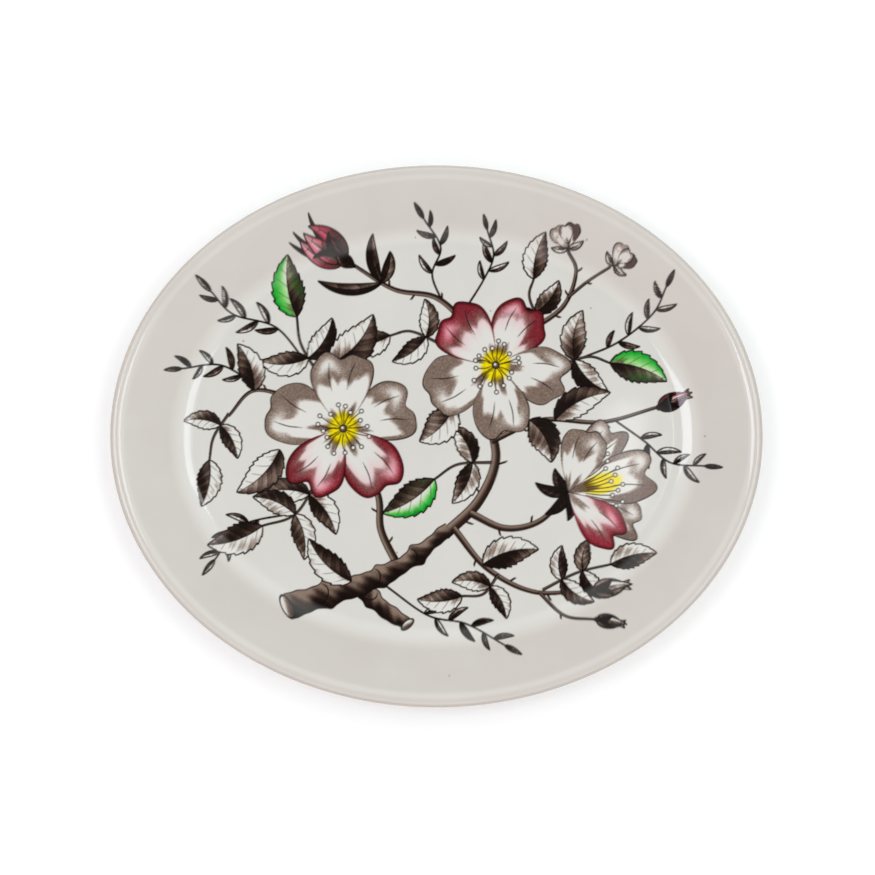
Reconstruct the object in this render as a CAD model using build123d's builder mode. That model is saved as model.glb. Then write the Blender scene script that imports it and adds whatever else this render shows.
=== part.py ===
from build123d import *

import os
from math import cos, radians, sin, tan

# An oval earthenware serving platter: a clay body that stands on an oval foot ring, and the
# two coats of clear glaze on it. Millimetres, +Z up, the long axis along X, with the origin
# at the middle of the plane that the foot ring stands on.
#
# The wall has one thickness from the flat well to its full-round lip. Its upper face runs
# inward from the crest of the lip: a convex arc (the lip), a straight slope (the marly), a
# concave arc (the bend) and the flat well. Insets are measured inward from the rim's edge.

# Overall size
LENGTH = 305.0
WIDTH = 254.0
HEIGHT = 24.0

# The wall
THICKNESS = 4.6
GLAZE = 0.4
SLOPE = 29.5  # of the marly, in degrees
LIP_RADIUS = 10.0  # where the lip rolls over into the marly
BEND_RADIUS = 30.0
CREST = THICKNESS / 2  # inset of the lip's highest line
WELL_EDGE = 41.0  # inset of the edge of the flat well

# The flat well's height follows from the drop of the two arcs and the slope between them
ARC_RADII = LIP_RADIUS + BEND_RADIUS
ARC_DROP = ARC_RADII * (1 - cos(radians(SLOPE)))
MARLY_RUN = WELL_EDGE - CREST - ARC_RADII * sin(radians(SLOPE))
FLOOR = HEIGHT - ARC_DROP - MARLY_RUN * tan(radians(SLOPE))
BASE = FLOOR - THICKNESS  # underside of the well

# Foot ring
FOOT_EDGE = WELL_EDGE + 1  # its outer side, as glazed
FOOT_WIDTH = 6.0  # as glazed
FOOT_INNER = FOOT_EDGE + FOOT_WIDTH
FOOT_ROUND = 1.4
DRY_HEIGHT = 1.8  # the glaze stops this far above the table

# Steps between the sections that the lofts take along each stretch of the profile
LIP_STEPS = 4
MARLY_STEPS = 4
BEND_STEPS = 8
EDGE_STEPS = 10


def arc(centre, radius, start, end, steps):
    """Stations of an arc, with angles from straight up towards the middle of the platter."""
    stations = []
    for step in range(steps + 1):
        turn = radians(start + (end - start) * step / steps)
        stations.append((centre[0] + radius * sin(turn), centre[1] + radius * cos(turn)))
    return stations


def face_profile(depth):
    """Stations of the wall at a depth under its upper face, from the crest to the well."""
    lip = arc((CREST, HEIGHT - LIP_RADIUS), LIP_RADIUS - depth, 0, SLOPE, LIP_STEPS)
    bend_centre = (WELL_EDGE, FLOOR + BEND_RADIUS)
    bend = arc(bend_centre, BEND_RADIUS + depth, SLOPE - 180, -180, BEND_STEPS)
    marly = []
    for step in range(1, MARLY_STEPS):
        share = step / MARLY_STEPS
        inset = lip[-1][0] + (bend[0][0] - lip[-1][0]) * share
        height = lip[-1][1] + (bend[0][1] - lip[-1][1]) * share
        marly.append((inset, height))
    return lip + marly + bend


def edge_profile(depth):
    """Stations round the rim's full-round edge at a depth, from its underside to the crest."""
    stations = arc((CREST, HEIGHT - CREST), CREST - depth, -180, 0, EDGE_STEPS)
    return stations[1:]


def oval(inset, height):
    """A flat oval at a height, inset all round from the rim's edge."""
    with BuildSketch(Plane.XY.offset(height)) as outline:
        Ellipse(LENGTH / 2 - inset, WIDTH / 2 - inset)
    return outline.sketch


def sections(profile):
    """One flat oval for each (inset, height) station of a profile."""
    return [oval(inset, height).face() for inset, height in profile]


def hollow(depth):
    """Sections of the hollow over the wall, from the crest of the lip down to the well."""
    return sections(face_profile(depth))


def filled(depth):
    """Sections of the platter as if filled to the brim, from the underside to the crest."""
    back = reversed(face_profile(THICKNESS - depth))
    return sections([*back, *edge_profile(depth)])


# The fired clay, without its glaze
with BuildPart() as body:
    loft(filled(GLAZE))
    loft(hollow(GLAZE), mode=Mode.SUBTRACT)
    extrude(oval(FOOT_EDGE + GLAZE, 0), amount=BASE + GLAZE)
    extrude(oval(FOOT_INNER - GLAZE, 0), amount=BASE + GLAZE, mode=Mode.SUBTRACT)
    fillet(body.edges().group_by(Axis.Z)[0], FOOT_ROUND)

# The main coat, over the well, the marly, the lip and the back, and down the foot's outside
with BuildPart() as glaze:
    loft(filled(0))
    loft(hollow(0), mode=Mode.SUBTRACT)
    extrude(oval(FOOT_EDGE, DRY_HEIGHT), amount=BASE - DRY_HEIGHT)
    foot_hole = oval(FOOT_EDGE + GLAZE, DRY_HEIGHT)
    extrude(foot_hole, amount=BASE + GLAZE - DRY_HEIGHT, mode=Mode.SUBTRACT)
    add(body.part, mode=Mode.SUBTRACT)

# The patch inside the foot ring, on the underside of the well and down the foot's inside
with BuildPart() as base_glaze:
    extrude(oval(FOOT_INNER - GLAZE, DRY_HEIGHT), amount=BASE + GLAZE - DRY_HEIGHT)
    extrude(oval(FOOT_INNER, DRY_HEIGHT), amount=BASE - DRY_HEIGHT, mode=Mode.SUBTRACT)

os.makedirs("parts", exist_ok=True)
for name, piece in (("body", body), ("glaze", glaze), ("base_glaze", base_glaze)):
    piece.part.label = name
    export_step(piece.part, f"parts/{name}.step")
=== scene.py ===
from math import cos, pi, radians, sin, tan, tau

import bpy
import numpy as np
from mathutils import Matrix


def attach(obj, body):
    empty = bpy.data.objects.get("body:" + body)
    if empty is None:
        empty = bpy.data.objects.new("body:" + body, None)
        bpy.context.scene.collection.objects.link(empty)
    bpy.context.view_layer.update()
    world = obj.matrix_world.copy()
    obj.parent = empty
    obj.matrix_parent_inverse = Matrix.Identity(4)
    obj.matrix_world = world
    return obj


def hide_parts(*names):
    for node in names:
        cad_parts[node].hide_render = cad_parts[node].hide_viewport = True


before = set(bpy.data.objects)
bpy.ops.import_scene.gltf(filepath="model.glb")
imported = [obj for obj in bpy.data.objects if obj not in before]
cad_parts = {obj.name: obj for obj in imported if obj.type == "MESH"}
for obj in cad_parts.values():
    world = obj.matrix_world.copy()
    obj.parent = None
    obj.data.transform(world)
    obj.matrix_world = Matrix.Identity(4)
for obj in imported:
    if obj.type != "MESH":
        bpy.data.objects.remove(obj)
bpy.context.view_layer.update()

# The look of an oval earthenware serving platter: its glazed face with a flower print under
# the glaze, its glazed back and foot, and the bare clay of the foot ring.
# The profile and the print are laid out in millimetres; meshes, lights and camera in metres.
MM = 0.001

# The wall, as in the CAD. Insets are measured inward from the rim's edge.
LENGTH = 305.0
WIDTH = 254.0
HEIGHT = 24.0
THICKNESS = 4.6
GLAZE = 0.4
SLOPE = 29.5
LIP_RADIUS = 10.0
BEND_RADIUS = 30.0
CREST = THICKNESS / 2
WELL_EDGE = 41.0
ARC_RADII = LIP_RADIUS + BEND_RADIUS
MARLY_RUN = WELL_EDGE - CREST - ARC_RADII * sin(radians(SLOPE))
FLOOR = HEIGHT - ARC_RADII * (1 - cos(radians(SLOPE))) - MARLY_RUN * tan(radians(SLOPE))
BASE = FLOOR - THICKNESS
FOOT_EDGE = WELL_EDGE + 1
DRY_HEIGHT = 1.8
POOL = 0.9  # radius of the glaze that pools in the corner between the back and the foot

# ---- The print: its inks, as they look on the white ware ----

IVORY = (220, 218, 211)


def shade(red, green, blue):
    """A colour as the eye sees it, from 0 to 255, as a share of the ware's own ivory."""
    return np.array((red, green, blue)) / np.array(IVORY)


PAPER = shade(226, 224, 217)
INK = shade(14, 9, 6)
BARK = shade(46, 32, 26)
SEPIA = shade(94, 75, 64)
WASH = shade(142, 121, 108)
WINE = shade(130, 30, 48)
ROSE = shade(206, 84, 108)
BLUSH = shade(226, 168, 178)
GREEN = shade(18, 154, 40)
MINT = shade(140, 208, 112)
YELLOW = shade(236, 214, 0)

PINK = (BLUSH, ROSE, WINE)
LEAF_GREEN = (MINT, GREEN)

INK_STEP = 0.2  # of the grid that the print is worked out on, in mm
LINE = 0.4  # width of an outline
HATCHING = 0.85  # pitch of the engraved shading lines
CURVE_STEP = 0.7  # between the points along a curve
RUN = 14  # how many points of a long curve are drawn at a time
FILAMENTS = 17  # round the heart of an open blossom
SHORT_FILAMENTS = 11  # close to its pistil, and all that show on a half-open one


class Print:
    """The colours of the printed face, seen from above, on a fine grid in millimetres."""

    def __init__(self, half_length, half_width):
        self.x = np.arange(-half_length, half_length, INK_STEP, dtype=np.float32)
        self.y = np.arange(-half_width, half_width, INK_STEP, dtype=np.float32)
        self.colour = np.ones((len(self.y), len(self.x), 3), np.float32)
        self.dice = np.random.default_rng(11)
        self.stipple = self.dice.uniform(-1, 1, self.colour.shape[:2]).astype(np.float32)

    def window(self, points, margin):
        """The part of the grid round some points, as slices, with its x and y."""
        low, high = np.min(points, 0) - margin, np.max(points, 0) + margin
        columns = slice(*np.searchsorted(self.x, (low[0], high[0])))
        rows = slice(*np.searchsorted(self.y, (low[1], high[1])))
        x, y = np.meshgrid(self.x[columns], self.y[rows])
        return (rows, columns), x, y

    def lay(self, where, colour, amount):
        """Covers part of the grid with a colour, as far as amount says."""
        under = self.colour[where]
        self.colour[where] = under + (colour - under) * np.clip(amount, 0, 1)[..., None]

    def wash(self, where, colour, amount):
        """Tints part of the grid with a clear colour, so that the drawing under it still shows."""
        self.colour[where] *= 1 + (colour - 1) * np.clip(amount, 0, 1)[..., None]

    def tone(self, where, depth, inside):
        """Stippled sepia shading, from none at depth 0 to the darkest at depth 1."""
        rough = depth + 0.16 * self.stipple[where] * ramp(0.0, 0.4, depth)
        self.lay(where, mix(WASH, BARK, rough * 1.5 - 0.4), ramp(0.08, 0.4, rough) * inside)

    def at(self, x, y):
        """The colours at some points, softened a little and read between the grid's cells."""
        soft = self.colour
        for axis in (0, 1):
            soft = (np.roll(soft, 1, axis) + 2 * soft + np.roll(soft, -1, axis)) / 4
        column = np.clip((x - self.x[0]) / INK_STEP, 0, len(self.x) - 1.001)
        row = np.clip((y - self.y[0]) / INK_STEP, 0, len(self.y) - 1.001)
        left, low = column.astype(int), row.astype(int)
        across, up = (column - left)[:, None], (row - low)[:, None]
        lower = soft[low, left] * (1 - across) + soft[low, left + 1] * across
        upper = soft[low + 1, left] * (1 - across) + soft[low + 1, left + 1] * across
        return lower * (1 - up) + upper * up


def ramp(start, end, value):
    """Goes smoothly from 0 at start to 1 at end."""
    share = np.clip((value - start) / (end - start), 0, 1)
    return share * share * (3 - 2 * share)


def mix(first, second, share):
    """Colours between two, one for each share."""
    return first + (second - first) * np.clip(share, 0, 1)[..., None]


def covers(distance):
    """How much of a grid cell lies inside an edge that is this far beyond it."""
    return np.clip(distance / INK_STEP + 0.5, 0, 1)


def outline(inside):
    """The edge of a shape on the grid, one cell to either side of where it ends."""
    grown, shrunk = inside, inside
    for axis in (0, 1):
        grown = np.maximum(grown, np.maximum(np.roll(grown, 1, axis), np.roll(grown, -1, axis)))
        shrunk = np.minimum(shrunk, np.minimum(np.roll(shrunk, 1, axis), np.roll(shrunk, -1, axis)))
    return grown - shrunk


def hatched(position, depth, pitch=HATCHING):
    """Engraved lines across position, each as thick as the depth of shade there asks for."""
    from_line = np.abs((position / pitch) % 1 - 0.5) * pitch
    return covers(depth * pitch / 2 - from_line) * ramp(0.02, 0.15, depth)


def turned(point, angle, reach):
    """The place that lies reach away from a point, at an angle in degrees."""
    return point[0] + reach * cos(radians(angle)), point[1] + reach * sin(radians(angle))


def curve(points):
    """Points along a smooth curve through a few chosen ones (a Catmull-Rom spline)."""
    p = np.array(points, float)
    p = np.vstack([2 * p[0] - p[1], p, 2 * p[-1] - p[-2]])
    made = [p[1:2]]
    for a, b, c, d in zip(p, p[1:], p[2:], p[3:]):
        count = max(int(np.hypot(*(c - b)) / CURVE_STEP), 2)
        t = np.linspace(0, 1, count + 1)[1:, None]
        bends = 2 * a - 5 * b + 4 * c - d + t * (3 * (b - c) + d - a)
        made.append(b + 0.5 * t * (c - a + t * bends))
    return np.vstack(made)


def bowed(base, tip, bend):
    """A curve from base to tip that bows to its left by bend, as a share of its length."""
    base, tip = np.array(base, float), np.array(tip, float)
    reach = tip - base
    left = np.array((-reach[1], reach[0]))
    t = np.linspace(0, 1, max(int(np.hypot(*reach) / CURVE_STEP), 6))[:, None]
    return base + reach * t + left * bend * 4 * t * (1 - t)


def heading(spine, index):
    """The direction of a curve at one of its points, in degrees."""
    reach = spine[min(index + 1, len(spine) - 1)] - spine[max(index - 1, 0)]
    return np.degrees(np.arctan2(reach[1], reach[0]))


def beside(spine, x, y):
    """For each grid point: how far along the spine it lies, and its offset to the left."""
    step = np.diff(spine, axis=0, append=2 * spine[-1:] - spine[-2:-1])
    size = np.hypot(*step.T)
    start = np.concatenate([[0], np.cumsum(size[:-1])])
    along = step / size[:, None]
    dx = x[..., None] - spine[:, 0].astype(np.float32)
    dy = y[..., None] - spine[:, 1].astype(np.float32)
    near = (dx * dx + dy * dy).argmin(-1)
    dx = np.take_along_axis(dx, near[..., None], -1)[..., 0]
    dy = np.take_along_axis(dy, near[..., None], -1)[..., 0]
    ux, uy = along[near, 0], along[near, 1]
    return start[near] + dx * ux + dy * uy, ux * dy - uy * dx, start[-1]


def in_runs(spine):
    """Short overlapping runs of a long curve, each with its start along it and the whole's length."""
    travelled = np.concatenate([[0], np.cumsum(np.hypot(*np.diff(spine, axis=0).T))])
    for first in range(0, len(spine) - 1, RUN):
        yield spine[first:first + RUN + 2], travelled[first], travelled[-1]


def ink(sheet, points, width=LINE, colour=INK, start=0.3, end=0.3):
    """A pen line along points, whose width at its two ends is a share of that in its middle."""
    for spine, done, total in in_runs(curve(points)):
        where, x, y = sheet.window(spine, width + INK_STEP)
        s, d, length = beside(spine, x, y)
        share = np.clip((done + s) / total, 0, 1)
        thick = width * np.minimum(ramp(-0.1, 0.35, share) * (1 - start) + start,
                                   ramp(1.1, 0.65, share) * (1 - end) + end)
        ends = covers(s + thick / 2) * covers(length + thick / 2 - s)
        sheet.lay(where, colour, covers(thick / 2 - np.abs(d)) * ends)


def stem(sheet, points, width, end_width, thorns=()):
    """A round twig: a light side, a shaded side, two ink edges and a thorn at each share given."""
    whole = curve(points)
    for number, share in enumerate(thorns):
        at = int(share * (len(whole) - 1))
        side = 1 if number % 2 else -1
        way = heading(whole, at)
        foot = turned(whole[at], way + 90 * side, width * 0.3)
        bent = turned(foot, way + 70 * side, width * 0.6 + 0.5)
        ink(sheet, [turned(foot, way + 180, 0.5), bent, turned(bent, way + 35 * side, 0.9)],
            0.9, BARK, 1, 0.1)
    for spine, done, total in in_runs(whole):
        where, x, y = sheet.window(spine, width + LINE)
        s, d, length = beside(spine, x, y)
        share = np.clip((done + s) / total, 0, 1)
        half = (width + (end_width - width) * share) / 2
        inside = covers(s + 0.2) * covers(length + 0.2 - s)
        round_side = mix(WASH, BARK, ramp(-0.7, 0.5, -d / half))
        sheet.lay(where, round_side, covers(half - np.abs(d)) * inside)
        edge = covers(LINE * 0.4 - np.abs(np.abs(d) - half))
        sheet.lay(where, INK, edge * inside)


def leaf(sheet, base, tip, width, bend=0.0, teeth=8, left=0.2, right=0.7, green=None,
         blunt=0.8, veins=5):
    """A leaf whose left and right halves are shaded this deep. green tints it, where given."""
    spine = bowed(base, tip, bend)
    where, x, y = sheet.window(spine, width)
    s, d, length = beside(spine, x, y)
    share = np.clip(s / length, 0, 1)
    half = width / 2 * np.sin(pi * share ** blunt) ** 0.85
    if teeth:
        saw = (share * teeth + np.abs(d) / width * 0.6) % 1
        half = half * (0.92 + 0.15 * saw)
    inside = covers(half - np.abs(d)) * covers(s) * covers(length - s)
    across = np.abs(d) / np.maximum(half, 0.01)
    wave = sheet.dice.uniform(0, tau)
    slant = s - np.abs(d) * 0.9
    rib = (slant / length * veins) % 1
    depth = np.where(d > 0, left, right) + 0.3 * (0.42 - share) + 0.16 * (rib - 0.5)
    depth = depth + 0.14 * np.sin(5 * share + 2.5 * across + wave)
    depth = (depth - 0.42) * 1.45 + 0.42

    sheet.lay(where, PAPER, inside)
    sheet.tone(where, depth, inside)
    sheet.lay(where, INK, hatched(slant, np.clip(depth * 1.2 - 0.6, 0, 0.6)) * inside * 0.85)
    if green is not None:
        clear = ramp(0.0, 0.7, across + 0.3 * share + 0.25 * np.sin(4 * share + wave))
        sheet.wash(where, mix(*green, across * 1.5 - 0.4), clear * inside * ramp(0.8, 0.35, depth))
    rib_line = covers(0.12 - np.abs(rib - 0.5) * length / veins) * ramp(0.85, 0.5, across)
    sheet.lay(where, INK, rib_line * inside * ramp(0.02, 0.1, share) * 0.8)
    sheet.lay(where, INK, covers(0.22 * (1.2 - share) - np.abs(d)) * inside)
    sheet.lay(where, INK, outline(inside))


def petal(sheet, centre, angle, length, spread, tints=None, band=0.55, depth=0.5, notch=0.1,
          lobes=0.045, glint=0.3, folds=(-0.3, 0.25)):
    """A petal that fans out from centre: white, shaded in a band inside its rim.

    spread is half its angle and band the share of its length where the shading starts. glint
    is where along the rim the light catches it, from -1 to 1. tints run from pale to dark.
    """
    turn, spread = radians(angle), radians(spread)
    sides = np.degrees(spread) * np.linspace(-1, 1, 5)
    fan = [turned(centre, angle + side, length * 1.1) for side in sides]
    where, x, y = sheet.window(np.vstack([[centre], fan]), 2)
    dx, dy = x - centre[0], y - centre[1]
    rho = np.hypot(dx, dy) + 1e-3
    u = ((np.arctan2(dy, dx) - turn + pi) % tau - pi) / spread

    wave = sheet.dice.uniform(0, tau, 3)
    u_table = np.linspace(-1, 1, 201)
    bumps = sum(np.sin(u_table * k * 3.1 + wave[k - 2]) / k for k in (2, 3, 4)) * lobes
    r_table = (1 - np.abs(u_table) ** 2.6) ** 0.42 * (1 + bumps)
    r_table = length * r_table * (1 - notch * np.exp(-(u_table / 0.16) ** 2))
    edge = np.interp(u, u_table, r_table, left=0, right=0)
    slope_table = np.gradient(r_table, u_table * spread) / np.maximum(r_table, 0.5)
    square = 1 / np.sqrt(1 + np.clip(np.interp(u, u_table, slope_table), -3, 3) ** 2)
    deep = np.where(np.abs(u) < 1, (edge - rho) * square, -rho)
    inside = covers(deep)
    share = rho / np.maximum(edge, 0.01)

    wander = np.interp(u, np.linspace(-1, 1, 17), sheet.dice.uniform(-0.07, 0.07, 17))
    wander = wander + 0.1 * np.sin(u * 3.4 + wave[1]) + 0.05 * np.sin(u * 8 + wave[2])
    light = np.exp(-((u - glint) / 0.3) ** 2) * ramp(0.16, 0.0, np.abs(share - band - 0.2))
    rim = ramp(band - 0.04, band + 0.12, share + wander) * (1 - 0.75 * light)
    flanks = 0.8 * ramp(0.84, 1.0, np.abs(u)) * ramp(0.9, 0.5, share)
    hollow = ramp(0.36, 0.16, share + wander) + flanks
    sheet.lay(where, PAPER, inside)
    sheet.tone(where, np.maximum(rim, hollow) * depth, inside)
    shadow = np.clip(hollow * 0.7 * depth - 0.15, 0, 0.5)
    sheet.lay(where, INK, hatched(u * spread * length * 0.5, shadow) * inside * 0.6)
    if tints:
        pale = ramp(band - 0.2, band + 0.2, share + wander) * 0.7
        full = ramp(band, band + 0.32, share + wander) * (0.9 - 0.6 * light)
        dark = ramp(2.2, 0.0, deep) * 0.7
        for tint, amount in zip(tints, (pale, full, dark)):
            sheet.wash(where, tint, inside * amount)
    for fold in folds:
        way = [turned(centre, angle + np.degrees(spread) * (fold + 0.08 * k), length * r)
               for k, r in ((0, 0.86), (1, 0.68), (1.4, 0.5))]
        ink(sheet, way, 0.34, INK, 0.2, 0.1)

    flank = rho * (1 - np.abs(u)) * spread
    to_edge = np.minimum(np.abs(deep), np.where(deep > -LINE, flank, 9.0))
    thick = LINE * (0.42 + 0.16 * np.sin(u * 5 + wave[0]))
    sheet.lay(where, INK, covers(thick - to_edge) * (np.abs(u) < 1) * (edge > length * 0.15))


def dot(sheet, centre, radius, fill, ring=0.3):
    """A small disc with an ink ring round it, unless the ring's width is 0."""
    where, x, y = sheet.window(np.array([centre]), radius + 1)
    r = np.hypot(x - centre[0], y - centre[1])
    sheet.lay(where, fill, covers(radius - r))
    sheet.lay(where, INK, covers(ring / 2 - np.abs(radius - r)) * (ring > 0))


def glow(sheet, centre, radius, colour, stretch=1.0, angle=0.0):
    """A soft-edged oval patch of clear tint."""
    where, x, y = sheet.window(np.array([centre]), radius * max(stretch, 1))
    dx, dy = x - centre[0], y - centre[1]
    turn = radians(angle)
    u, v = dx * cos(turn) + dy * sin(turn), dy * cos(turn) - dx * sin(turn)
    r = np.hypot(u / stretch, v) / radius
    sheet.wash(where, colour, ramp(1.0, 0.55, r))


def stamen(sheet, root, tip, bow, size=0.95):
    """A thin filament that carries a pale anther."""
    middle = (np.array(root) + tip) / 2 + bow
    ink(sheet, [root, middle, tip], 0.34, INK, 0.5, 0.9)
    dot(sheet, tip, size, PAPER, 0.32)


def heart(sheet, centre, radius):
    """The middle of an open blossom: yellow, with stamens round a dark pistil."""
    where, x, y = sheet.window(np.array([centre]), radius)
    sheet.lay(where, PAPER, ramp(1.0, 0.5, np.hypot(x - centre[0], y - centre[1]) / radius))
    glow(sheet, centre, radius * 1.05, YELLOW, 1.15, 70)
    for index in range(FILAMENTS):
        angle = 360 * index / FILAMENTS + sheet.dice.uniform(-6, 6)
        reach = radius * sheet.dice.uniform(1.0, 1.6)
        bow = sheet.dice.uniform(-0.08, 0.08, 2) * reach
        stamen(sheet, turned(centre, angle, radius * 0.2), turned(centre, angle, reach), bow)
    for index in range(SHORT_FILAMENTS):
        angle = 360 * index / SHORT_FILAMENTS + sheet.dice.uniform(-9, 9)
        way = [turned(centre, angle, 1.4), turned(centre, angle + 8, radius * 0.42),
               turned(centre, angle, radius * sheet.dice.uniform(0.45, 0.65))]
        ink(sheet, way, 0.26, SEPIA, 0.6, 0.1)
    dot(sheet, centre, radius * 0.2, SEPIA, 0.4)
    dot(sheet, turned(centre, 130, radius * 0.06), radius * 0.08, PAPER, 0)


def bud(sheet, base, angle, length, tints=None):
    """A closed bud on its hip: two side petals, a middle one and dark sepals."""
    for side, left, right in ((-1, 0.5, 0.15), (1, 0.2, 0.6)):
        tip = turned(base, angle + 8 * side, length * 0.96)
        leaf(sheet, base, tip, length * 0.336, -0.14 * side, 0, left, right, tints, 0.62, 2)
    middle, tip = turned(base, angle, length * 0.1), turned(base, angle, length)
    leaf(sheet, middle, tip, length * 0.252, 0.04, 0, 0.05, 0.5, tints, 0.6, 2)
    for side in (-1, 1):
        tip = turned(base, angle + 24 * side, length * 0.55)
        leaf(sheet, base, tip, length * 0.14, -0.12 * side, 0, 0.9, 0.9)
    dot(sheet, base, length * 0.08, BARK)


def ball(sheet, centre, radius, angle):
    """A round bud of three overlapping petals, with pointed sepals round its stalk."""
    stalk = turned(centre, angle + 180, radius)
    for side in (-1, 1, 0):
        tip = turned(stalk, angle + 78 * side, radius * 1.3)
        leaf(sheet, stalk, tip, radius * 0.5, 0.1 * side, 0, 0.1, 0.5, None, 0.8, 2)
    long = radius * 1.9
    petal(sheet, stalk, angle - 24, long, 34, None, 0.5, 0.7, 0.04, 0.03, folds=())
    petal(sheet, stalk, angle + 26, long, 36, None, 0.55, 0.3, 0.04, 0.03, 0.2, folds=())
    front = turned(stalk, angle, radius * 0.3)
    petal(sheet, front, angle - 4, radius * 1.45, 40, None, 0.75, 0.35, 0.08, 0.03, 0, folds=())


def sprig(sheet, points, leaves, size, lean=40, first=0.25):
    """A thin stem with alternate small leaves that shrink towards its tip."""
    spine = curve(points)
    stem(sheet, points, 0.6, 0.36)
    for index in range(leaves):
        share = first + (1 - first) * index / max(leaves - 1, 1)
        at = min(int(share * len(spine)), len(spine) - 1)
        last = index == leaves - 1
        side = 0 if last else (1, -1)[index % 2]
        long = size * (1.1 - 0.3 * share) * sheet.dice.uniform(0.85, 1.15)
        tip = turned(spine[at], heading(spine, at) + side * lean, long)
        shade_left = sheet.dice.uniform(0.1, 0.7)
        leaf(sheet, spine[at], tip, long * 0.26, 0.08 * side, 0, shade_left, 0.7, None, 0.8, 3)


def trunk(sheet, points, width, end_width, knots=()):
    """A woody stem with grain along it and a swelling at each knot."""
    spine = curve(points)
    where, x, y = sheet.window(spine, width)
    s, d, length = beside(spine, x, y)
    share = np.clip(s / length, 0, 1)
    half = (width + (end_width - width) * share) / 2
    half = half + 0.3 * np.sin(s * 0.4) + 0.18 * np.sin(s * 0.93 + np.sign(d) * 1.3)
    for knot in knots:
        half = half + width * 0.13 * np.exp(-((s - knot) / 2.2) ** 2)
    inside = covers(half - np.abs(d)) * covers(s) * covers(length - s)
    depth = 0.7 - 0.55 * d / half + 0.16 * np.sin(s * 0.5) + 0.1 * np.sin(s * 1.1 + d)
    sheet.lay(where, WASH, inside)
    sheet.tone(where, depth, inside)
    grain = d + 0.3 * np.sin(s * 0.3) + 0.12 * np.sin(s * 0.8 + d)
    sheet.lay(where, INK, hatched(grain, np.clip(depth - 0.42, 0, 0.75), 0.9) * inside * 0.85)
    for knot in knots:
        ring = covers(0.25 - np.abs(s - knot - 0.5 * d + 0.9 * d * d / half))
        sheet.lay(where, INK, ring * ramp(1, 0.5, np.abs(d) / half) * inside)
    edge = covers(LINE * 0.5 - np.abs(np.abs(d) - half)) * covers(s) * covers(length - s)
    sheet.lay(where, INK, edge)


def cut_end(sheet, centre, angle, long, wide):
    """The pale slanting face where a twig was cut."""
    where, x, y = sheet.window(np.array([centre]), long)
    turn = radians(angle)
    u = (x - centre[0]) * cos(turn) + (y - centre[1]) * sin(turn)
    v = (y - centre[1]) * cos(turn) - (x - centre[0]) * sin(turn)
    out = (1 - np.hypot(u / long * 2, v / wide * 2)) * min(long, wide) / 2
    sheet.lay(where, PAPER, covers(out))
    sheet.tone(where, ramp(-0.9, 0.9, -v / wide * 2 - u / long) * 0.8, covers(out))
    sheet.lay(where, INK, covers(LINE * 0.5 - np.abs(out)))


def blossom(sheet, centre, size, turn, pinks):
    """An open dog rose: five broad petals round a yellow heart. pinks lists the tinted ones."""
    for number in (0, 2, 4, 1, 3):
        tints = PINK if number in pinks else None
        length = size * sheet.dice.uniform(0.94, 1.06)
        petal(sheet, centre, turn + 72 * number, length, 41, tints, 0.64, 0.42, 0.1, 0.06)
    heart(sheet, centre, size * 0.23)


def half_open(sheet, base, angle, size):
    """A dog rose seen from the side: petals behind and in front of its stamens, on dark sepals."""
    for lean, reach in ((105, 0.3), (150, 0.38), (-150, 0.36), (-105, 0.32)):
        leaf(sheet, base, turned(base, angle + lean, size * reach), size * 0.12, 0.12, 0, 0.8, 0.95)
    for lean, reach, spread in ((-40, 0.9, 26), (40, 0.92, 26), (0, 1.0, 30)):
        petal(sheet, base, angle + lean, size * reach, spread, None, 0.68, 0.45, 0.08, 0.06)
    glow(sheet, turned(base, angle, size * 0.4), size * 0.14, YELLOW, 1.9, angle)
    for index in range(SHORT_FILAMENTS):
        way = angle - 30 + 6 * index
        tip = turned(base, way, size * (0.56 + 0.07 * sin(index * 2.1)))
        stamen(sheet, turned(base, way, size * 0.2), tip, np.array((0.4, -0.4)), 0.9)
    petal(sheet, base, angle - 58, size * 0.8, 32, PINK, 0.56, 0.34, 0.12, 0.05, 0.4)
    petal(sheet, base, angle + 56, size * 0.76, 34, None, 0.62, 0.4, 0.1, 0.05, -0.3)


def rosebud(sheet, base, angle, length):
    """A pink bud that is about to open, with long sepals round it, on a dark hip."""
    for lean in (-20, 16, 5):
        tip = turned(base, angle + lean, length * 1.2)
        leaf(sheet, base, tip, length * 0.12, 0.1, 0, 0.9, 0.9)
    for lean, bend, tints in ((10, 0.14, (BLUSH, ROSE)), (-10, -0.16, (ROSE, WINE)),
                              (0, 0.06, (BLUSH, ROSE))):
        tip = turned(base, angle + lean, length)
        leaf(sheet, base, tip, length * 0.4, bend, 0, 0.35, 0.5, tints, 0.6, 2)
    for side in (-1, 1):
        tip = turned(base, angle + 30 * side, length * 0.65)
        leaf(sheet, base, tip, length * 0.13, -0.2 * side, 0, 0.7, 0.9)
    low, high = turned(base, angle, -length * 0.3), turned(base, angle, length * 0.18)
    leaf(sheet, low, high, length * 0.28, 0, 0, 0.7, 0.95, None, 1.1, 1)


def rose_leaf(sheet, points, size, pairs=2, tints=None):
    """A compound leaf: toothed leaflets in pairs along a thin stalk, and one at its tip."""
    spine = curve(points)
    stem(sheet, points, 1.1, 0.7)
    for pair in range(pairs):
        at = int((len(spine) - 1) * (0.3 + 0.62 * pair / pairs))
        for side in (-1, 1):
            long = size * sheet.dice.uniform(0.68, 0.86)
            tip = turned(spine[at], heading(spine, at) + 62 * side, long)
            dark, pale = sheet.dice.uniform(0.55, 0.9), sheet.dice.uniform(0.0, 0.5)
            leaf(sheet, spine[at], tip, long * 0.5, 0.1 * side, 6, pale, dark)
    tip = turned(spine[-1], heading(spine, len(spine) - 1), size)
    leaf(sheet, spine[-1], tip, size * 0.52, 0.08, 8, 0.15, 0.65, tints)


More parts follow.
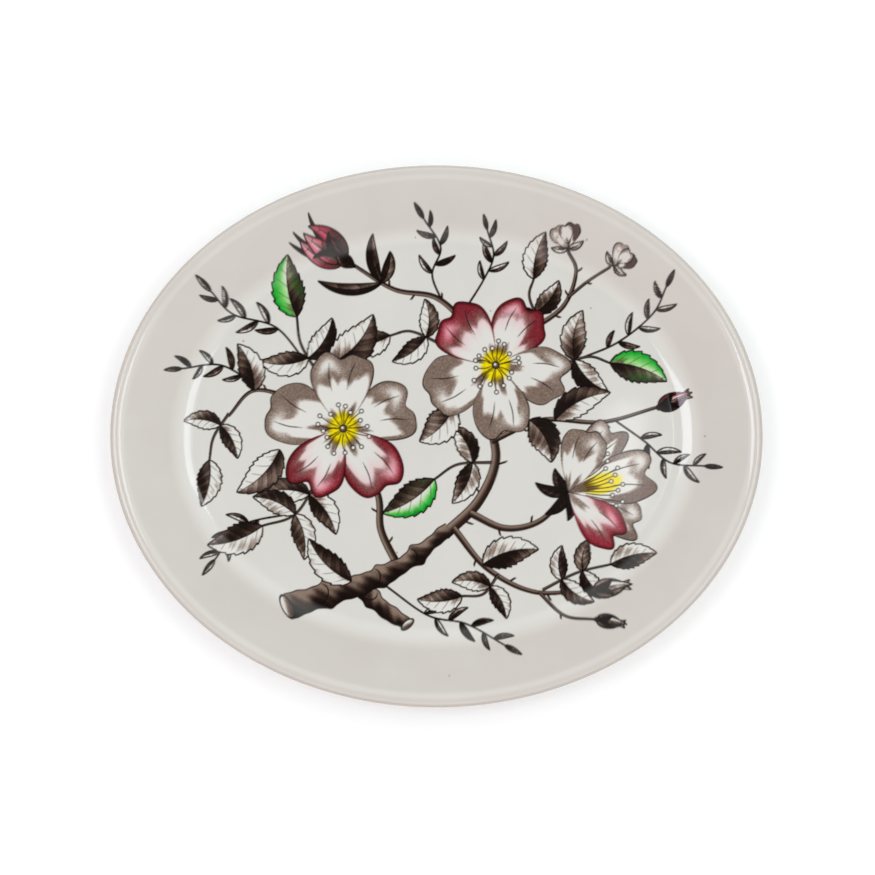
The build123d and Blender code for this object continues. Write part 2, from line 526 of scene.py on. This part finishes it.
def draw_spray(sheet):
    """A spray of dog roses in a bow from the lower left to the upper right, that fills the well."""
    # Fine sprigs behind everything
    sprig(sheet, [(3, 63.5), (-2, 77), (2, 90), (-6, 103)], 7, 10, first=0.35)
    sprig(sheet, [(12, 58), (22, 74), (27, 86), (24, 98)], 7, 10, first=0.45)
    sprig(sheet, [(-62, 36), (-76, 52), (-96, 58), (-106, 68)], 8, 11, first=0.35)
    sprig(sheet, [(-84, 24), (-102, 34), (-120, 32)], 7, 10, lean=46)
    sprig(sheet, [(84, 8), (98, -2), (110, -12), (126, -14)], 8, 11, lean=46, first=0.3)
    sprig(sheet, [(69, 37.5), (86, 45), (102, 58), (108, 70)], 8, 10, lean=44)
    sprig(sheet, [(-24, -70), (-4, -84), (14, -88), (32, -98)], 8, 11, first=0.35)
    sprig(sheet, [(-68, -36), (-92, -42), (-104, -58)], 7, 11, first=0.35)

    # The stems, behind the trunk
    stem(sheet, [(4, -46), (20, -30), (28, -10), (24, 12), (26, 30)], 5.0, 2.8, (0.14, 0.32, 0.5, 0.68))
    stem(sheet, [(-18, -61), (-26, -44), (-28, -26), (-42, -4)], 3.4, 2.2, (0.2, 0.45, 0.7))
    stem(sheet, [(16, -36), (32, -43), (48, -40), (61, -28)], 3.2, 1.8, (0.3, 0.6))
    stem(sheet, [(8, -43), (24, -62), (46, -73), (72, -72)], 2.8, 1.2, (0.25, 0.5, 0.75))
    stem(sheet, [(48, -73), (60, -84), (74, -86)], 1.4, 0.8, (0.5,))
    stem(sheet, [(16, 52), (0, 66), (-20, 70), (-40, 82)], 2.6, 1.3, (0.3, 0.5, 0.7))
    stem(sheet, [(44, 50), (60, 62), (66, 78), (62, 88)], 2.2, 1.1, (0.3, 0.55, 0.8))
    stem(sheet, [(62, 66), (72, 74), (82, 80)], 1.2, 0.9, (0.5,))
    stem(sheet, [(26, -2), (50, 8), (78, 7), (104, 14)], 2.4, 1.1, (0.2, 0.45, 0.7))
    stem(sheet, [(-66, 18), (-86, 22), (-98, 10)], 1.8, 1.0, (0.4,))

    # The trunk, with a cut stub
    trunk(sheet, [(-36, -70), (-26, -80), (-14, -88)], 8.0, 6.2, (9,))
    cut_end(sheet, (-13.6, -88.3), 42, 7, 3.4)
    trunk(sheet, [(-70, -80), (-54, -75), (-34, -69), (-14, -59), (6, -43)], 12.0, 5.6, (20, 46, 66))
    cut_end(sheet, (-70, -80), 118, 12, 4.8)

    # Leaves
    rose_leaf(sheet, [(-98, 11), (-105, 0), (-107, -11)], 22, 1)
    rose_leaf(sheet, [(-56, 30), (-64, 44), (-66, 57)], 29, 1, LEAF_GREEN)
    rose_leaf(sheet, [(-54, -16), (-66, -36), (-82, -42)], 27, 2)
    rose_leaf(sheet, [(26, -12), (10, -13), (-1, -20)], 29, 1, LEAF_GREEN)
    rose_leaf(sheet, [(2, 44), (-12, 50), (-22, 48)], 23, 1)
    rose_leaf(sheet, [(58, 34), (72, 38), (82, 35)], 28, 1, LEAF_GREEN)
    rose_leaf(sheet, [(50, 52), (44, 66), (46, 75)], 22, 1)
    rose_leaf(sheet, [(29, -65), (22, -74), (12, -75)], 21, 1)
    rose_leaf(sheet, [(50, -72), (66, -64), (82, -60)], 22, 2)
    leaf(sheet, (-40, -68), (-60, -48), 13, 0.1, 7, 0.2, 0.75)
    leaf(sheet, (22, -60), (48, -53), 14, 0.1, 8, 0.15, 0.75)
    leaf(sheet, (-86, 22), (-94, 44), 12, -0.1, 7, 0.75, 0.3)
    leaf(sheet, (56, 8), (82, 21), 13, 0.1, 7, 0.75, 0.25)
    leaf(sheet, (-52, 34), (-30, 58), 17, -0.12, 8, 0.3, 0.75)
    leaf(sheet, (8, 14), (-8, -2), 15, 0.1, 8, 0.2, 0.6)
    leaf(sheet, (44, 8), (54, -12), 14, 0.12, 7, 0.75, 0.4)
    leaf(sheet, (-74, -6), (-94, -26), 14, 0.1, 8, 0.6, 0.1)
    for tip, bend in (((-30, 96), 0.1), ((-56, 74), 0.12), ((-22, 88), -0.1)):
        leaf(sheet, (-26, 73), tip, 5.5, bend, 0, 0.9, 0.6, None, 0.9, 3)

    # Buds
    rosebud(sheet, (-44, 84), 148, 22)
    ball(sheet, (61, 95), 6.0, 100)
    ball(sheet, (88, 84), 5.6, 40)
    bud(sheet, (74, -72), 8, 18)
    bud(sheet, (75, -86), -10, 14)
    bud(sheet, (105, 14), 24, 17, (ROSE, WINE))

    # Blossoms
    half_open(sheet, (62, -26), 14, 42)
    blossom(sheet, (-44, 4), 36, 20, (3, 4))
    blossom(sheet, (28, 34), 35, 60, (0, 1))


def scatter_specks(sheet, count):
    """Tiny brown specks under the glaze, as kiln dust leaves."""
    angles = sheet.dice.uniform(0, tau, count)
    for angle, reach in zip(angles, sheet.dice.uniform(0.4, 0.97, count)):
        place = (reach * LENGTH / 2 * cos(angle), reach * WIDTH / 2 * sin(angle))
        dot(sheet, place, sheet.dice.uniform(0.2, 0.35), SEPIA, 0)


# ---- The meshes ----

WELL_RINGS = 290
BEND_STEPS = 32
MARLY_STEPS = 32
LIP_STEPS = 12
EDGE_STEPS = 12
BACK_SIDES = 748


def arc(centre, radius, start, end, steps):
    """Stations along an arc of the profile. Its angles are in degrees from straight up."""
    turns = np.radians(np.linspace(start, end, steps + 1))
    return np.stack([centre[0] + radius * np.sin(turns), centre[1] + radius * np.cos(turns)], 1)


def face_profile(depth):
    """Stations (inset, height) at a depth under the upper face, from the well to the crest."""
    bend_centre = (WELL_EDGE, FLOOR + BEND_RADIUS)
    bend = arc(bend_centre, BEND_RADIUS + depth, -180, SLOPE - 180, BEND_STEPS)
    lip = arc((CREST, HEIGHT - LIP_RADIUS), LIP_RADIUS - depth, SLOPE, 0, LIP_STEPS)
    marly = np.linspace(bend[-1], lip[0], MARLY_STEPS + 1)[1:-1]
    return np.vstack([bend, marly, lip])


def make_piece(name, points, faces, slot, *nodes):
    """A smooth mesh that rides on the platter and stands for CAD nodes. Points are in mm."""
    mesh = bpy.data.meshes.new(name)
    mesh.vertices.add(len(points))
    mesh.vertices.foreach_set("co", (points * MM).astype(np.float32).ravel())
    mesh.loops.add(faces.size)
    mesh.loops.foreach_set("vertex_index", faces.astype(np.int32).ravel())
    mesh.polygons.add(len(faces))
    mesh.polygons.foreach_set("loop_start", np.arange(0, faces.size, 4, dtype=np.int32))
    mesh.update(calc_edges=True)
    mesh.polygons.foreach_set("use_smooth", np.ones(len(faces), bool))
    piece = bpy.data.objects.new(name, mesh)
    bpy.context.scene.collection.objects.link(piece)
    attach(piece, "root")
    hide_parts(*nodes)
    return piece


def grid_faces(rows, columns, closed=False):
    """Quads between the points of a grid, whose last row joins its first if it is closed."""
    corner = np.arange(rows * columns).reshape(rows, columns)
    if closed:
        corner = np.vstack([corner, corner[:1]])
    quads = [corner[:-1, :-1], corner[:-1, 1:], corner[1:, 1:], corner[1:, :-1]]
    return np.stack(quads, -1).reshape(-1, 4)


def face_points():
    """The upper face, as a square grid drawn into an oval: square ring k has 8 k points."""
    edge = arc((CREST, HEIGHT - CREST), CREST, 0, -90, EDGE_STEPS)
    outer = np.vstack([face_profile(0), edge[1:]])[1:]
    well = np.arange(WELL_RINGS + 1) / WELL_RINGS
    half_x = np.concatenate([well * (LENGTH / 2 - WELL_EDGE), LENGTH / 2 - outer[:, 0]])
    half_y = np.concatenate([well * (WIDTH / 2 - WELL_EDGE), WIDTH / 2 - outer[:, 0]])
    height = np.concatenate([np.full(len(well), FLOOR), outer[:, 1]])
    last = len(height) - 1
    column, row = np.meshgrid(np.arange(-last, last + 1), np.arange(-last, last + 1))
    ring = np.maximum(np.abs(column), np.abs(row))
    wide = np.abs(column) >= np.abs(row)
    long_way = np.where(wide, column, row)
    short_way = np.where(wide, row, -column)
    angle = np.where(wide, 0, pi / 2) + pi / 4 * short_way / np.where(long_way == 0, 1, long_way)
    angle = angle + np.where(long_way < 0, pi, 0)
    points = [half_x[ring] * np.cos(angle), half_y[ring] * np.sin(angle), height[ring]]
    return np.stack(points, -1).reshape(-1, 3), 2 * last + 1


def back_points():
    """The glazed back, from the rim's edge, under the wall and down the foot's outer side."""
    edge = arc((CREST, HEIGHT - CREST), CREST, -90, -180, EDGE_STEPS)
    wall = face_profile(THICKNESS)[::-1]
    pool = arc((FOOT_EDGE - POOL, BASE - POOL), POOL, 0, 90, 6)
    drop = arc((FOOT_EDGE + GLAZE, DRY_HEIGHT + GLAZE), GLAZE, -90, -180, 4)
    profile = np.vstack([edge, wall[1:], pool, drop])
    turn = np.arange(BACK_SIDES)[:, None] * tau / BACK_SIDES
    x = (LENGTH / 2 - profile[:, 0]) * np.cos(turn)
    y = (WIDTH / 2 - profile[:, 0]) * np.sin(turn)
    z = np.broadcast_to(profile[:, 1], x.shape)
    return np.stack([x, y, z], -1).reshape(-1, 3), len(profile)


# ---- The materials ----

SLOPE_PAINTED_SHADE = np.array((0.978, 0.961, 0.957))  # painted shade: the slope is made a little darker than the well, as less light falls on it
EDGE_PAINTED_SHADE = np.array((0.92, 0.9, 0.89))  # and painted shade, darker still, on the rim's outer edge
IVORY_LIGHT = (0.715, 0.700, 0.650, 1)
IVORY_DARK = (0.690, 0.674, 0.622, 1)
CLAY_LIGHT = (0.66, 0.58, 0.45, 1)
CLAY_DARK = (0.55, 0.47, 0.35, 1)


class Nodes:
    """A node tree that is built up step by step. place is where on the object, or which way."""

    def __init__(self, tree, place):
        self.tree = tree
        self.place = self.node("ShaderNodeTexCoord").outputs[place]

    def node(self, kind, **values):
        made = self.tree.nodes.new(kind)
        for name, value in values.items():
            setattr(made, name, value)
        return made

    def link(self, start, end):
        self.tree.links.new(start, end)

    def spread(self, value, low, high, to_low, to_high):
        """A value rescaled from one range to another."""
        made = self.node("ShaderNodeMapRange")
        ends = {"From Min": low, "From Max": high, "To Min": to_low, "To Max": to_high}
        for name, number in ends.items():
            made.inputs[name].default_value = number
        self.link(value, made.inputs["Value"])
        return made.outputs["Result"]

    def blend(self, share, first, second, mode="MIX"):
        """Two colours mixed by a share. Each colour is a socket or four numbers."""
        made = self.node("ShaderNodeMix", data_type="RGBA", blend_type=mode)
        sockets = (made.inputs[0], made.inputs[6], made.inputs[7])
        for value, socket in zip((share, first, second), sockets):
            if isinstance(value, bpy.types.NodeSocket):
                self.link(value, socket)
            else:
                socket.default_value = value
        return made.outputs[2]


class Look(Nodes):
    """A material, whose nodes are built up round its Principled shader."""

    def __init__(self, name):
        self.material = bpy.data.materials.new(name)
        self.material.use_nodes = True
        super().__init__(self.material.node_tree, "Object")
        self.shader = self.tree.nodes["Principled BSDF"]

    def noise(self, scale, detail=2.0):
        """Smooth noise with this many waves to the metre."""
        made = self.node("ShaderNodeTexNoise")
        made.inputs["Scale"].default_value = scale
        made.inputs["Detail"].default_value = detail
        self.link(self.place, made.inputs["Vector"])
        return made.outputs["Fac"]

    def bump(self, height, distance):
        made = self.node("ShaderNodeBump")
        made.inputs["Distance"].default_value = distance
        self.link(height, made.inputs["Height"])
        self.link(made.outputs["Normal"], self.shader.inputs["Normal"])


def glaze_look(name, printed):
    """Clear glossy glaze over ivory earthenware, with the print, and painted shade on the slope and the
    rim's edge, between them if asked.
    """
    look = Look(name)
    ware = look.blend(look.spread(look.noise(38), 0.3, 0.7, 0, 1), IVORY_DARK, IVORY_LIGHT)
    if printed:
        colour = look.node("ShaderNodeAttribute", attribute_name="print_and_painted_shade").outputs["Vector"]
        ware = look.blend(1.0, ware, colour, "MULTIPLY")
    look.link(ware, look.shader.inputs["Base Color"])
    look.link(look.spread(look.noise(60), 0.3, 0.7, 0.05, 0.09), look.shader.inputs["Roughness"])
    look.shader.inputs["IOR"].default_value = 1.52
    look.bump(look.noise(45, 1.0), 0.00004)
    return look.material


def clay_look(name):
    """Bare fired clay: matte, buff and finely gritty."""
    look = Look(name)
    grit = look.noise(2200, 3.0)
    clay = look.blend(look.spread(grit, 0.35, 0.65, 0, 1), CLAY_DARK, CLAY_LIGHT)
    look.link(clay, look.shader.inputs["Base Color"])
    look.link(look.spread(grit, 0.3, 0.7, 0.75, 0.95), look.shader.inputs["Roughness"])
    look.bump(grit, 0.0001)
    return look.material


def floor_look(name, light, dark):
    """The studio floor: matte and nearly white, lit a little from within, more so far off."""
    look = Look(name)
    look.link(look.blend(look.noise(0.8), dark, light), look.shader.inputs["Base Color"])
    look.shader.inputs["Roughness"].default_value = 0.9
    look.shader.inputs["Specular IOR Level"].default_value = 0.0
    look.shader.inputs["Emission Color"].default_value = (1, 1, 1, 1)
    away = look.node("ShaderNodeVectorMath", operation="LENGTH")
    look.link(look.place, away.inputs[0])
    glow = look.spread(away.outputs["Value"], 0.3, 2.5, NEAR_GLOW, FAR_GLOW)
    look.link(glow, look.shader.inputs["Emission Strength"])
    return look.material


# ---- The platter ----

points, side = face_points()
face = make_piece("glazed_face", points, grid_faces(side, side), "glaze", "glaze")
sheet = Print(LENGTH / 2, WIDTH / 2)
draw_spray(sheet)
scatter_specks(sheet, 12)
colours = sheet.at(points[:, 0], points[:, 1])
# Painted shade: the colours darkened on the slope, above the well's floor.
colours *= mix(np.ones(3), SLOPE_PAINTED_SHADE, ramp(FLOOR + 0.3, FLOOR + 3, points[:, 2]))
# Painted shade: the colours darkened on the rim's outer edge.
outward = np.hypot(points[:, 0] / LENGTH, points[:, 1] / WIDTH) * 2
colours *= mix(np.ones(3), EDGE_PAINTED_SHADE, ramp(0.985, 0.999, outward))
colours = colours ** 2.2  # from what the eye sees to amounts of light
attribute = face.data.attributes.new("print_and_painted_shade", "FLOAT_VECTOR", "POINT")
attribute.data.foreach_set("vector", colours.astype(np.float32).ravel())
face.data.materials.append(glaze_look("printed_glaze", True))

points, stations = back_points()
back = make_piece("glazed_back", points, grid_faces(BACK_SIDES, stations, True), "glaze", "glaze")
plain_glaze = glaze_look("plain_glaze", False)
back.data.materials.append(plain_glaze)

for node, material in (("base_glaze", plain_glaze), ("body", clay_look("fired_clay"))):
    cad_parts[node].data.materials.clear()
    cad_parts[node].data.materials.append(material)

# ---- The studio ----

SIGHT = 86  # elevation of the camera, in degrees
REACH = 1.6  # from the camera to the middle of the rim
VIEW_WIDTH = 0.409  # what the picture spans there
AIM = (0.0005, -0.0012, 0.0217)
SKY = ((0.1, 0.98), (0.2, 0.28), (0.5, 0.3), (0.75, 1.23), (0.92, 1.23), (0.975, 0.06))
COOL = (1.21, 1.34, 1.31, 1)  # the sky's tint towards the upper right of the picture
WARM = (1.09, 0.96, 0.99, 1)  # and towards the lower left
BOX_WHITE = (0.96, 1.0, 1.1)  # the soft boxes' slightly cool light
WHITE = (1, 1, 1, 1)
COOL_SIDE = (0.7, 0.7, 0)  # the way to the sky's cool side
FLOOR_REACH = 6.0  # from the middle of the floor to its sides
NEAR_GLOW = 0.22  # of the floor
FAR_GLOW = 0.42


def add_light(name, place, size, radiance, colour=(1, 1, 1)):
    """A flat rectangular light that faces straight down."""
    light = bpy.data.lights.new(name, "AREA")
    light.shape = "RECTANGLE"
    light.size, light.size_y = size
    light.energy = radiance * pi * size[0] * size[1]
    light.color = colour
    lamp = bpy.data.objects.new(name, light)
    lamp.location = place
    bpy.context.scene.collection.objects.link(lamp)


add_light("left_box", (-0.54, 0.05, REACH), (0.57, 0.36), 4.5, BOX_WHITE)
add_light("right_box", (0.43, 0.1, REACH), (0.37, 0.47), 3.7, BOX_WHITE)
add_light("window_strip", (0.178, 0.088, REACH), (0.036, 0.106), 3.4, (0.94, 0.97, 1.0))

mesh = bpy.data.meshes.new("floor")
corners = [(FLOOR_REACH * x, FLOOR_REACH * y, 0) for x, y in ((-1, -1), (1, -1), (1, 1), (-1, 1))]
mesh.from_pydata(corners, [], [(0, 1, 2, 3)])
floor = bpy.data.objects.new("floor", mesh)
floor.location.z = -0.0002
mesh.materials.append(floor_look("floor_white", (0.84, 0.84, 0.84, 1), (0.82, 0.82, 0.82, 1)))
bpy.context.scene.collection.objects.link(floor)

world = bpy.data.worlds.new("studio")
world.use_nodes = True
sky = Nodes(world.node_tree, "Generated")
parts = sky.node("ShaderNodeSeparateXYZ")
sky.link(sky.place, parts.inputs[0])
height = parts.outputs["Z"]
across = sky.node("ShaderNodeVectorMath", operation="DOT_PRODUCT")
across.inputs[1].default_value = COOL_SIDE
sky.link(sky.place, across.inputs[0])
tint = sky.blend(sky.spread(across.outputs["Value"], -1, 1, 0, 1), WARM, COOL)
tint = sky.blend(sky.spread(height, 0.1, 0.2, 0, 1), WHITE, tint)
brightness = sky.node("ShaderNodeValToRGB")
for place, grey in SKY[1:-1]:
    brightness.color_ramp.elements.new(place)
for stop, (place, grey) in zip(brightness.color_ramp.elements, SKY):
    stop.position = place
    stop.color = (grey, grey, grey, 1)
sky.link(height, brightness.inputs[0])
background = world.node_tree.nodes["Background"]
sky.link(tint, background.inputs["Color"])
sky.link(brightness.outputs["Color"], background.inputs["Strength"])
bpy.context.scene.world = world
bpy.context.scene.view_settings.view_transform = "Standard"

camera_data = bpy.data.cameras.new("camera")
camera_data.lens = camera_data.sensor_width * REACH / VIEW_WIDTH
camera = bpy.data.objects.new("camera", camera_data)
tilt = radians(90 - SIGHT)
camera.location = (AIM[0], AIM[1] - REACH * sin(tilt), AIM[2] + REACH * cos(tilt))
camera.rotation_euler = (tilt, 0, 0)
bpy.context.scene.collection.objects.link(camera)
bpy.context.scene.camera = camera
